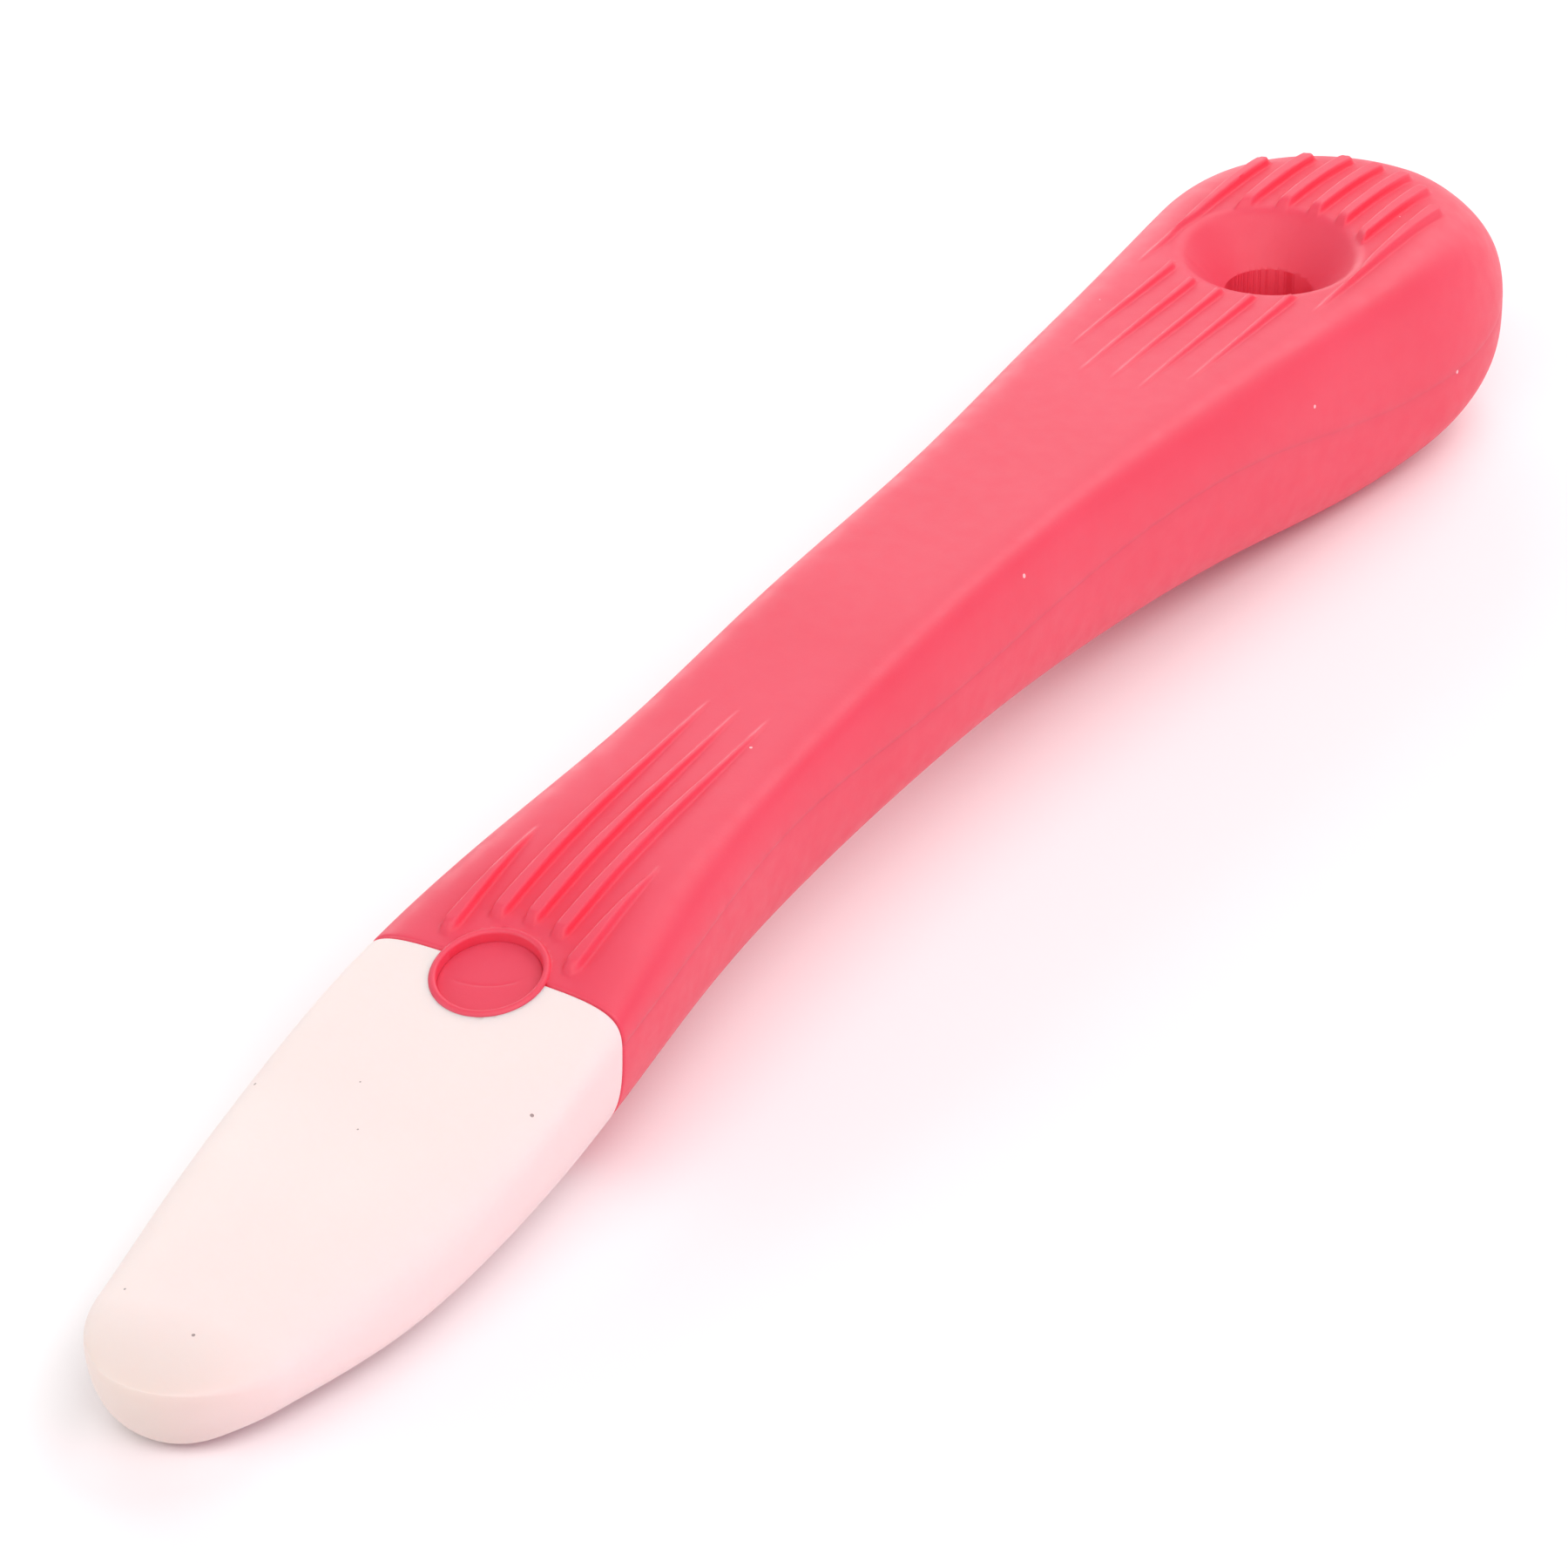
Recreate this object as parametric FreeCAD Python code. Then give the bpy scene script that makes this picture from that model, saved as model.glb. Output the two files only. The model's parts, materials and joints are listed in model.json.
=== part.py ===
import FreeCAD, Part
import math
import os

# Clay shaper: a soft silicone tip on a rigid tang, held in a two-shell handle by one rivet.
# Millimetres. x is measured from the nose of the tip to the butt of the handle, y across the
# tool, z up from the surface it lies on. move_to_frame puts the origin under its middle.

Vector = FreeCAD.Vector

# Overall form
LENGTH = 165.0
JOINT_X = 41.2                      # plane where the soft tip meets the handle
WALL = 2.0                          # handle shell thickness

# Cross-sections along the tool: x, half width, bottom, widest height, top, how square the
# section is above and below its widest height (2 is an ellipse), and the fraction of the half
# width by which the upper sides lean in.
STATIONS = (
    (4.0, 6.6, 0.1, 5.1, 6.8, 2.8, 2.2, 0.1),
    (18.0, 9.3, 0.1, 4.2, 8.9, 3.6, 2.3, 0.04),
    (34.0, 10.0, 0.5, 8.7, 11.4, 3.6, 2.8, 0.03),
    (50.0, 8.8, 3.5, 11.3, 14.8, 7.2, 3.4, 0.17),
    (66.0, 7.2, 4.1, 12.4, 16.0, 10.0, 3.5, 0.14),
    (84.0, 7.5, 5.6, 12.1, 17.2, 10.8, 3.8, 0.19),
    (104.0, 7.7, 4.2, 12.1, 17.4, 11.0, 3.8, 0.18),
    (124.0, 9.7, 2.3, 11.6, 17.2, 11.2, 4.0, 0.21),
    (142.0, 11.6, 0.0, 7.9, 16.6, 11.2, 3.9, 0.15),
    (160.0, 14.7, 2.4, 8.8, 17.1, 4.0, 3.9, 0.3),
)
# Rounding of the two ends: length and squareness, in plan and in side view
NOSE_PLAN = (7.0, 2.1)
NOSE_CROWN = (6.5, 2.0)             # side view above the widest height
NOSE_SIDE = (3.8, 2.05)             # and below it
BUTT_PLAN = (18.8, 2.0)
BUTT_SIDE = (22.0, 2.8)
SECTION_STEPS = 24                  # points up each side of a section
CORNER_CROWDING = 0.7               # 0 spreads them evenly, towards 1 they gather at its corners
END_STEPS = (0.02, 0.25, 0.9, 2.0, 3.8, 7.0)    # distances of the last sections from each end
SECTION_PITCH = 8.0

# Hang hole through the butt: a funnel at each mouth and a straight throat between them
HOLE_X = 143.0
MOUTH_RADIUS = 6.4
THROAT_RADIUS = 3.15
FUNNEL_DEPTH = 3.3

# Round ears of the shells that lap over the tip, and the rivet through them
EAR_X = 40.6
EAR_RADIUS = 3.9
EAR_RISE = 0.22                     # upper ear stands this proud of the tip
UPPER_EAR_FLOOR = 10.4
LOWER_EAR_CEILING = 3.3
HEAD_RADIUS = 3.4
HEAD_DEPTH = 0.55                   # rivet head lies this far below the tip's surface
HEAD_UNDERSIDE = 10.8
SHANK_RADIUS = 1.9
STAKE_RADIUS = 2.9
STAKE_DEPTH = 0.5
STAKE_TOP = 2.6

# Skirt of the soft tip, clamped inside the handle
SKIRT_END = 46.0

# Tang: a bent strip on the mid-line of the tool
TANG_START = 10.0
TANG_END = 124.0
TANG_THICKNESS = 3.0
TANG_HALF_WIDTH = 4.4
TANG_POINTS = 10

# Inside the handle: webs that carry the tang, and pegs that cross it
WEB_STATIONS = (54.0, 92.0, 120.0)
WEB_THICKNESS = 1.6
PEG_STATIONS = (72.0, 108.0)
PEG_RADIUS = 1.4
PEG_REACH = 2.5                     # length of each peg below the tang
POST_RADIUS = 2.8

# Grip ribs on the top face
RIB_HEIGHT = 0.45
RIB_HALF_WIDTH = 0.55
RIB_POINT_HALF_WIDTH = 0.12
FRONT_RIB_PITCH = 2.3
FRONT_RIB_SPANS = ((42.7, 53.6), (45.0, 71.0), (45.4, 71.0), (45.0, 71.0), (42.7, 53.6))
BUTT_RIB_PITCH = 2.35
BUTT_RIB_SPANS = ((136.6, 155.2), (122.8, 157.8), (119.6, 159.3), (119.9, 159.6),
                  (119.6, 159.3), (122.8, 157.8), (136.6, 155.2))
LAND_X = 142.6                      # plain disc round the mouth of the hole, off its centre
LAND_RADIUS = 7.0

TALL = 40.0                         # reach of the cutting solids past the tool


def natural_spline(points):
    """A smooth curve through (x, value) points, straight at both ends and beyond them."""
    xs = [x for x, _ in points]
    values = [value for _, value in points]
    count = len(xs)
    bends = [0.0] * count
    ratios = [0.0] * count
    for i in range(1, count - 1):
        before = xs[i] - xs[i - 1]
        after = xs[i + 1] - xs[i]
        change = (values[i + 1] - values[i]) / after - (values[i] - values[i - 1]) / before
        pivot = 2 * (before + after) - before * ratios[i - 1]
        ratios[i] = after / pivot
        bends[i] = (6 * change - before * bends[i - 1]) / pivot
    for i in range(count - 2, 0, -1):
        bends[i] -= ratios[i] * bends[i + 1]

    def value_at(x):
        i = max(0, min(count - 2, sum(1 for left in xs[1:-1] if left <= x)))
        gap = xs[i + 1] - xs[i]
        a = (xs[i + 1] - x) / gap
        b = (x - xs[i]) / gap
        straight = a * values[i] + b * values[i + 1]
        return straight + ((a ** 3 - a) * bends[i] + (b ** 3 - b) * bends[i + 1]) * gap ** 2 / 6

    return value_at


def column(index):
    return natural_spline([(row[0], row[index]) for row in STATIONS])


half_width_at = column(1)
bottom_at = column(2)
widest_at = column(3)
top_at = column(4)
upper_squareness_at = column(5)
lower_squareness_at = column(6)
lean_at = column(7)


def end_rounding(distance, cap):
    """Fraction of full size at a distance from the end of the tool."""
    length, squareness = cap
    left = max(0.0, min(1.0, 1 - distance / length))
    return (1 - left ** squareness) ** (1 / squareness)


def section_half(x, inset):
    """Size of the section at x, drawn inset from the outer skin, and a function of its outline."""
    nose = x - inset
    butt = LENGTH - inset - x
    plan = end_rounding(nose, NOSE_PLAN) * end_rounding(butt, BUTT_PLAN)
    butt_side = end_rounding(butt, BUTT_SIDE)
    widest = widest_at(x)
    width = (half_width_at(x) - inset) * plan
    upper = (top_at(x) - inset - widest) * end_rounding(nose, NOSE_CROWN) * butt_side
    lower = (widest - bottom_at(x) - inset) * end_rounding(nose, NOSE_SIDE) * butt_side

    def outline(step):
        even = math.pi * (step - 0.5)
        angle = even + CORNER_CROWDING * math.sin(4 * even) / 4
        above = angle > 0
        squareness = upper_squareness_at(x) if above else lower_squareness_at(x)
        across = max(0.0, math.cos(angle))
        upward = math.sin(angle)
        size = (across ** squareness + abs(upward) ** squareness) ** (1 / squareness)
        level = upward / size
        lean = lean_at(x) * level ** 2 if above else 0.0
        return width * (1 - lean) * across / size, widest + (upper if above else lower) * level

    return width, outline


def section_wire(x, inset):
    """Closed outline of the tool at x: one edge up each side, meeting on the centre plane."""
    width, outline = section_half(x, inset)
    steps = [step / SECTION_STEPS for step in range(SECTION_STEPS + 1)]
    half = [outline(step) for step in steps]
    left = Part.BSplineCurve()
    left.interpolate(Points=[Vector(x, y, z) for y, z in half], Parameters=steps,
                     InitialTangent=Vector(0, width, 0), FinalTangent=Vector(0, -width, 0))
    right = Part.BSplineCurve()
    right.interpolate(Points=[Vector(x, -y, z) for y, z in reversed(half)], Parameters=steps,
                      InitialTangent=Vector(0, -width, 0), FinalTangent=Vector(0, width, 0))
    return Part.Wire([left.toShape(), right.toShape()])


def body(inset):
    """Solid of the whole tool, or of its inside when inset is the wall thickness."""
    first = inset
    last = LENGTH - inset
    plain = last - first - 2 * END_STEPS[-1]
    count = round(plain / SECTION_PITCH)
    stations = [first + step for step in END_STEPS]
    stations += [first + END_STEPS[-1] + plain * step / count for step in range(1, count)]
    stations += [last - step for step in reversed(END_STEPS)]
    return Part.makeLoft([section_wire(x, inset) for x in stations], True, False)


def slab(low_x, high_x):
    """Block that keeps everything between two x planes."""
    return Part.makeBox(high_x - low_x, 2 * TALL, 2 * TALL, Vector(low_x, -TALL, -TALL))


def post(x, radius, low_z, high_z):
    return Part.makeCylinder(radius, high_z - low_z, Vector(x, 0, low_z))


def side_prism(low_curve, high_curve):
    """Solid between two (x, z) curves of equal span, reaching across the whole tool."""
    edges = []
    for points in (low_curve, high_curve):
        curve = Part.BSplineCurve()
        curve.interpolate([Vector(x, -TALL, z) for x, z in points])
        edges.append(curve.toShape())
    for low, high in ((low_curve[0], high_curve[0]), (low_curve[-1], high_curve[-1])):
        edges.append(Part.makeLine(Vector(low[0], -TALL, low[1]), Vector(high[0], -TALL, high[1])))
    wire = Part.Wire(Part.__sortEdges__(edges))
    return Part.Face(wire).extrude(Vector(0, 2 * TALL, 0))


def above_parting():
    """Everything above the curved line where the two handle shells meet."""
    xs = [JOINT_X - WALL + SECTION_PITCH * step for step in range(18)]
    return side_prism([(x, widest_at(x)) for x in xs], [(x, TALL) for x in xs])


def rib_prism(start, end, y, blunt_at_start):
    """Upright prism of one rib: rounded at one end, tapering to a narrow point at the other."""
    blunt, point = (start, end) if blunt_at_start else (end, start)
    heading = 1 if point > blunt else -1
    centre = blunt + heading * RIB_HALF_WIDTH
    left_edge = Vector(centre, y - RIB_HALF_WIDTH, 0)
    right_edge = Vector(centre, y + RIB_HALF_WIDTH, 0)
    left_point = Vector(point, y - RIB_POINT_HALF_WIDTH, 0)
    right_point = Vector(point, y + RIB_POINT_HALF_WIDTH, 0)
    edges = (
        Part.Arc(right_edge, Vector(blunt, y, 0), left_edge).toShape(),
        Part.makeLine(left_edge, left_point),
        Part.makeLine(left_point, right_point),
        Part.makeLine(right_point, right_edge),
    )
    return Part.Face(Part.Wire(edges)).extrude(Vector(0, 0, TALL))


def grip_ribs(outer):
    """All the ribs on the top face, reaching down into the shell under them."""
    prisms = []
    middle = (len(FRONT_RIB_SPANS) - 1) / 2
    for row, (start, end) in enumerate(FRONT_RIB_SPANS):
        prisms.append(rib_prism(start, end, (row - middle) * FRONT_RIB_PITCH, True))
    middle = (len(BUTT_RIB_SPANS) - 1) / 2
    for row, (start, end) in enumerate(BUTT_RIB_SPANS):
        prisms.append(rib_prism(start, end, (row - middle) * BUTT_RIB_PITCH, False))
    raised = outer.copy()
    raised.translate(Vector(0, 0, RIB_HEIGHT))
    floor = outer.copy()
    floor.translate(Vector(0, 0, -WALL / 2))
    land = post(LAND_X, LAND_RADIUS, 0, TALL)
    return Part.makeCompound(prisms).common(raised).cut(floor).cut(land)


def hang_hole():
    """The two funnels and the throat, as one cutter."""
    flare = MOUTH_RADIUS - THROAT_RADIUS
    slope = flare / FUNNEL_DEPTH
    top = top_at(HOLE_X)
    bottom = bottom_at(HOLE_X)
    reach = FUNNEL_DEPTH + 1.0
    wide = THROAT_RADIUS + slope * reach
    upper = Part.makeCone(THROAT_RADIUS, wide, reach, Vector(HOLE_X, 0, top - FUNNEL_DEPTH))
    lower = Part.makeCone(wide, THROAT_RADIUS, reach, Vector(HOLE_X, 0, bottom + FUNNEL_DEPTH - reach))
    return upper.fuse(lower).fuse(post(HOLE_X, THROAT_RADIUS, -TALL, TALL))


def hang_hole_boss():
    """Material left round the hang hole inside the handle."""
    top = top_at(HOLE_X)
    bottom = bottom_at(HOLE_X)
    narrow = THROAT_RADIUS + WALL
    wide = MOUTH_RADIUS + WALL
    reach = FUNNEL_DEPTH + WALL
    upper = Part.makeCone(narrow, wide, reach, Vector(HOLE_X, 0, top - reach))
    lower = Part.makeCone(wide, narrow, reach, Vector(HOLE_X, 0, bottom))
    return upper.fuse(lower).fuse(post(HOLE_X, narrow, bottom, top))


def tang_middle(x):
    return (bottom_at(x) + top_at(x)) / 2


def tang_blank():
    """The tang before its holes are drilled."""
    span = TANG_END - TANG_START
    xs = [TANG_START + span * step / (TANG_POINTS - 1) for step in range(TANG_POINTS)]
    low = [(x, tang_middle(x) - TANG_THICKNESS / 2) for x in xs]
    high = [(x, tang_middle(x) + TANG_THICKNESS / 2) for x in xs]
    strip = side_prism(low, high)
    nose_centre = TANG_START + TANG_HALF_WIDTH
    plan = Part.makeBox(TANG_END - nose_centre, 2 * TANG_HALF_WIDTH, TALL,
                        Vector(nose_centre, -TANG_HALF_WIDTH, 0))
    return strip.common(plan.fuse(post(nose_centre, TANG_HALF_WIDTH, 0, TALL)))


def rivet(outer):
    """Pin through both ears: head sunk in the upper ear, end staked over in the lower one."""
    sunk = outer.copy()
    sunk.translate(Vector(0, 0, -HEAD_DEPTH))
    head = post(EAR_X, HEAD_RADIUS, HEAD_UNDERSIDE, TALL).common(sunk)
    shank = post(EAR_X, SHANK_RADIUS, STAKE_TOP, HEAD_UNDERSIDE)
    lifted = outer.copy()
    lifted.translate(Vector(0, 0, STAKE_DEPTH))
    stake = post(EAR_X, STAKE_RADIUS, -TALL, STAKE_TOP).common(lifted)
    return head.fuse(shank).fuse(stake)


def rivet_bore():
    """Stepped hole for the rivet, open above and below."""
    head = post(EAR_X, HEAD_RADIUS, HEAD_UNDERSIDE, TALL)
    stake = post(EAR_X, STAKE_RADIUS, -TALL, STAKE_TOP)
    return head.fuse(post(EAR_X, SHANK_RADIUS, -TALL, TALL)).fuse(stake)


def upper_ear(outer):
    """Round tongue of the upper shell that laps over the soft tip."""
    raised = outer.copy()
    raised.translate(Vector(0, 0, EAR_RISE))
    return post(EAR_X, EAR_RADIUS, UPPER_EAR_FLOOR, TALL).common(raised)


def lower_ear_post():
    """Upright cylinder that the lower shell's tongue is cut from."""
    return post(EAR_X, EAR_RADIUS, -TALL, LOWER_EAR_CEILING)


def pegs():
    """Pins moulded on the upper shell, through the tang and into the posts below it."""
    result = []
    for x in PEG_STATIONS:
        low = tang_middle(x) - TANG_THICKNESS / 2 - PEG_REACH
        result.append(post(x, PEG_RADIUS, low, top_at(x) - WALL / 2))
    return result


def handle_void(cavity):
    """Hollow of the handle, less the webs, the peg posts and the boss of the hang hole."""
    half = WEB_THICKNESS / 2
    solids = [slab(x - half, x + half) for x in WEB_STATIONS]
    solids += [post(x, POST_RADIUS, -TALL, tang_middle(x)) for x in PEG_STATIONS]
    solids.append(hang_hole_boss())
    return cavity.cut(solids)


def build_parts():
    outer = body(0.0)
    cavity = body(WALL)
    blank = tang_blank()
    bore = rivet_bore()
    hole = hang_hole()
    ear = upper_ear(outer)

    front = outer.common(slab(-TALL, JOINT_X))
    skirt = cavity.common(slab(JOINT_X, SKIRT_END))
    tip = front.fuse(skirt).cut([blank, bore, ear, lower_ear_post()])

    tang = blank.cut([bore] + pegs())

    zone = slab(JOINT_X, LENGTH + TALL).fuse(lower_ear_post())
    handle = outer.common(zone).cut(handle_void(cavity))
    upper_side = above_parting()
    upper = handle.common(upper_side).cut(blank).fuse([ear, grip_ribs(outer)] + pegs())
    lower = handle.cut(upper_side).cut([blank] + pegs())
    return {
        "soft_tip": tip,
        "tang": tang,
        "handle_upper_shell": upper.cut([bore, hole]),
        "handle_lower_shell": lower.cut([bore, hole]),
        "lock_rivet": rivet(outer),
    }


def move_to_frame(shape):
    """Put the origin under the middle of the tool."""
    moved = shape.copy()
    moved.translate(Vector(-LENGTH / 2, 0, 0))
    return moved


os.makedirs("parts", exist_ok=True)
for name, shape in build_parts().items():
    shape = move_to_frame(shape)
    print(name, "valid", shape.isValid(), "solids", len(shape.Solids), "volume", round(shape.Volume, 1))
    shape.exportStep("parts/" + name + ".step")
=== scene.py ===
import json
import math

import bmesh
import bpy
import numpy as np
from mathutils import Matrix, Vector


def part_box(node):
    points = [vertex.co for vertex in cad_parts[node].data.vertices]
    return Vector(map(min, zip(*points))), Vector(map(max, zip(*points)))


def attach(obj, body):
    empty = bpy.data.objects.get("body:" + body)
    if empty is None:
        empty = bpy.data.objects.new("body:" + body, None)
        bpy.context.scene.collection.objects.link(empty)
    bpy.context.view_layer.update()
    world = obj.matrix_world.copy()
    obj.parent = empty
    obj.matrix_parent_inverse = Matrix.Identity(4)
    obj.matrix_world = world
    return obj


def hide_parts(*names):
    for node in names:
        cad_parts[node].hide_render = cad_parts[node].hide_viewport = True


# Looks of the clay shaper. Shapes are worked out in millimetres, x measured from the nose of
# the tip and z up from the table, and placed in the frame's metres when a mesh is made.

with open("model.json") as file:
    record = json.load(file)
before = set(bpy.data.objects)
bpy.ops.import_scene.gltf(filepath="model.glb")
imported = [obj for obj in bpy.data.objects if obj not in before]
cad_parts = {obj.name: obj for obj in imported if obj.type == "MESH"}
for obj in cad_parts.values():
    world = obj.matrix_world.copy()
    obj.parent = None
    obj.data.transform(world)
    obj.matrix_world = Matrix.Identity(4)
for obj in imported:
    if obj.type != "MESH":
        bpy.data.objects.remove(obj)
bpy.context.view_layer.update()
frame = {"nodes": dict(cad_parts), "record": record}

MM = 0.001

# Places read from the frame
mount = frame["record"]["mounts"][0]
rivet_low, rivet_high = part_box("lock_rivet")
LENGTH = 165.0
HOLE_X = mount["pos_m"][0] / MM + LENGTH / 2
THROAT_RADIUS = mount["dims"]["r_mm"]
EAR_X = (rivet_low.x + rivet_high.x) / 2 / MM + LENGTH / 2
JOINT_X = 41.2

# The body: x, half width, bottom, widest height, top, squareness above and below, lean
STATIONS = np.array((
    (4.0, 6.6, 0.1, 5.1, 6.8, 2.8, 2.2, 0.1),
    (18.0, 9.3, 0.1, 4.2, 8.9, 3.6, 2.3, 0.04),
    (34.0, 10.0, 0.5, 8.7, 11.4, 3.6, 2.8, 0.03),
    (50.0, 8.8, 3.5, 11.3, 14.8, 7.2, 3.4, 0.17),
    (66.0, 7.2, 4.1, 12.4, 16.0, 10.0, 3.5, 0.14),
    (84.0, 7.5, 5.6, 12.1, 17.2, 10.8, 3.8, 0.19),
    (104.0, 7.7, 4.2, 12.1, 17.4, 11.0, 3.8, 0.18),
    (124.0, 9.7, 2.3, 11.6, 17.2, 11.2, 4.0, 0.21),
    (142.0, 11.6, 0.0, 7.9, 16.6, 11.2, 3.9, 0.15),
    (160.0, 14.7, 2.4, 8.8, 17.1, 4.0, 3.9, 0.3),
))
NOSE_PLAN = (7.0, 2.1)
NOSE_CROWN, NOSE_SIDE = (6.5, 2.0), (3.8, 2.05)
BUTT_PLAN, BUTT_SIDE = (18.8, 2.0), (22.0, 2.8)
END_GAP = 0.02                      # the body stops this short of its nominal ends
WALL = 2.0

# Joint between tip and handle: both edges are rounded, which leaves a fine groove
TIP_EDGE = 0.35
SHELL_EDGE = 0.22
SKIRT_END = 46.0
PARTING_DEPTH = 0.05                # V-groove where the two shells meet
PARTING_WIDTH = 0.16

# Hang hole
MOUTH_RADIUS = 6.4
FUNNEL_DEPTH = 3.3
MOUTH_BLEND = 0.5

# Ears and rivet. An edge's outline is a list of steps out from a radius and up from a height.
EAR_RADIUS = 3.9
EAR_LIP = 0.12                      # width of the lip that covers the edge of the tip
EAR_LIP_FOOT = -0.02                # the lip's underside lies just below the skin
EAR_RISE = 0.22
EAR_OUTER_EDGE = ((0, -0.01), (-0.02, 0.05), (-0.07, 0.12), (-0.14, 0.17), (-0.21, EAR_RISE))
EAR_INNER_EDGE = ((0.19, EAR_RISE), (0.1, 0.18), (0.03, 0.12), (0, 0.02))
EAR_FLOOR = 10.4
HEAD_RADIUS = 3.4
HEAD_UNDERSIDE = 10.8
HEAD_DEPTH = 0.55
HEAD_FLAT_RADIUS = HEAD_RADIUS - 0.12
HEAD_EDGE = ((-0.03, -0.03), (0, -0.1))
SHANK_RADIUS = 1.9
LOWER_EAR_CEILING = 3.3
LOWER_EAR_OUTER_EDGE = ((0, 0.12), (-0.05, 0.04), (-0.15, 0))
LOWER_EAR_INNER_EDGE = ((0.12, 0), (0.03, 0.04), (0, 0.12))
STAKE_RADIUS = 2.9
STAKE_TOP = 2.6
STAKE_DEPTH = 0.2
STAKE_EDGE = ((0, 0.1), (-0.1, 0))
WELD_CENTRE = (4.3, 1.9)            # x from the rivet's axis, and y
WELD_RADIUS = 5.2
WELD_DEPTH = 0.05
WELD_HALF_WIDTH = 0.09
WELD_FADES = ((-2.2, -1.2), (1.8, 2.6))       # y over which the line comes up and dies away

# Ribs: rows across the tool, each (start, end) along it
RIB_HEIGHT = 0.58
RIB_HALF_WIDTH = 0.52
RIB_POINT_HALF_WIDTH = 0.1
RIB_SLOPE = 0.15                    # half the width of a rib's flank
RIB_FADE = (0.86, 1.0)              # ribs die out over the corner of the section
FRONT_RIB_PITCH = 2.3
FRONT_RIBS = ((42.7, 53.6), (45.0, 71.0), (45.4, 71.0), (45.0, 71.0), (42.7, 53.6))
BUTT_RIB_PITCH = 2.35
BUTT_RIBS = ((136.6, 155.2), (122.8, 157.8), (119.6, 159.3), (119.9, 159.6),
             (119.6, 159.3), (122.8, 157.8), (136.6, 155.2))
LAND_X = 142.6                      # plain disc round the hole's mouth
LAND_RADIUS = 7.0

# Inside the handle
WEB_STATIONS = (54.0, 92.0, 120.0)
WEB_THICKNESS = 1.6
PEG_STATIONS = (72.0, 108.0)
PEG_RADIUS = 1.4
PEG_REACH = 2.5
POST_RADIUS = 2.8
TANG_THICKNESS = 3.0
CUT_MARGIN = 1.0                    # how far a cutter passes the skin

# Mesh fineness
INNER_HALF_WIDTH, INNER_SHARE = 5.5, 0.7      # inner columns reach this far, or this share
OUTER_HALF_WIDTH, OUTER_SHARE = 8.2, 0.74
FINE_COLUMNS = (124, 28, 40)        # inner, outer and side columns
PLAIN_COLUMNS = (48, 6, 36)
COARSE_COLUMNS = (12, 2, 16)
CORNER_CROWDING = 0.7
CORNER_TABLE = 200
HALVINGS = 26                       # rounds of halving that find a height on the section
ROUND_STEPS = 128
THROAT_STEPS = 512
PEG_STEPS = 48
HEAD_RINGS = 44
AXIS_GAP = 0.001                    # radius of the smallest ring about an axis
END_SPAN = 8.0                      # rows crowd together over this length of a rounded end
NOSE_ROWS, TIP_STEP, TIP_EDGE_ROWS = 34, 0.45, 7
SKIRT_LAP, SKIRT_STEP = 0.5, 1.0
CAVITY_END_ROWS, CAVITY_STEP = 8, 2.0
FRONT_ROWS_END = 72.0               # the shells' rows lie close for the front ribs up to here,
BUTT_ROWS_START = 116.0             # lie close again from here,
BUTT_END_START = 160.0              # and crowd together from here
SHELL_EDGE_ROWS, BUTT_END_ROWS = 5, 30
FRONT_STEP, MIDDLE_STEP, BUTT_STEP = 0.35, 0.9, 0.3
TALL = 40.0                         # half the height of a cutter that passes right through
SEW_DISTANCE = 0.001                # points of a CAD mesh nearer than this become one
SHARP_ANGLE = 33.0                  # degrees; edges sharper than this stay crisp

# Colours; where there are two, a surface clouds between them
CORAL = ((0.735, 0.054, 0.098, 1), (0.755, 0.062, 0.111, 1))
# painted shade: the deep red that the coral is given in its hollows
CORAL_PAINTED_SHADE = (0.9, 0.002, 0.03, 1)
CORAL_DUST = (0.9, 0.5, 0.52, 1)
SILICONE = ((0.83, 0.71, 0.68, 1), (0.85, 0.735, 0.705, 1))
# painted shade: the darker tone laid on the tip towards its nose
SILICONE_NOSE_SHADE = (0.72, 0.61, 0.55, 1)
CLAY_DUST = (0.35, 0.28, 0.27, 1)
NYLON = ((0.78, 0.76, 0.7, 1), (0.86, 0.85, 0.8, 1))
TABLE = ((0.93, 0.9, 0.907, 1), (0.94, 0.91, 0.917, 1))
WHITE = (1.0, 1.0, 1.0)
ROSE = (1.0, 0.15, 0.45)

# Surfaces, in millimetres unless noted
NOISE_RANGE = (0.3, 0.7)            # nearly all of a noise texture's values lie in here
HOLLOW_REACH = 5.0                  # a hollow is what other walls shade from this near
HOLLOW_OPENING = (0.35, 0.9)        # how open to the light a deep and a shallow hollow are
HOLLOW_ROUGHNESS = 0.45             # what a deep hollow adds to the roughness
NOSE_SHADE_START, NOSE_SHADE_END = 1.0, 9.0   # painted shade darkens the tip this far from its nose
NOSE_SHADE_WANDER = 5.0
CORAL_SPECKS = (3.5, 0.18)          # size of the cells that hold one speck each, and a speck's radius
CLAY_SPECKS = (2.2, 0.16)
SPECK_SHARE = 0.4                   # this share of the cells holds none

# Stage, in metres and degrees. Softboxes of a light tent stand round the tool:
# azimuth, elevation, distance, brightness, colour
FLOOR_HALF_WIDTH = 1.5
TENT_RADIUS = 1.3
SOFTBOX_SIZE = 0.8
TENT = (
    (0, 18, TENT_RADIUS, 3.4, ROSE), (90, 18, 0.6, 1.8, WHITE), (135, 18, TENT_RADIUS, 4.6, WHITE),
    (225, 18, TENT_RADIUS, 4.5, WHITE), (270, 18, TENT_RADIUS, 0.4, WHITE),
    (0, 48, TENT_RADIUS, 3.2, WHITE), (45, 48, TENT_RADIUS, 1.5, WHITE), (90, 48, 0.6, 4.0, WHITE),
    (270, 48, TENT_RADIUS, 2.6, WHITE), (315, 48, TENT_RADIUS, 4.6, WHITE),
)
SKY = 0.355
CAMERA_TARGET = Vector((-6.5, -0.3, 8.0)) * MM
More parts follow.
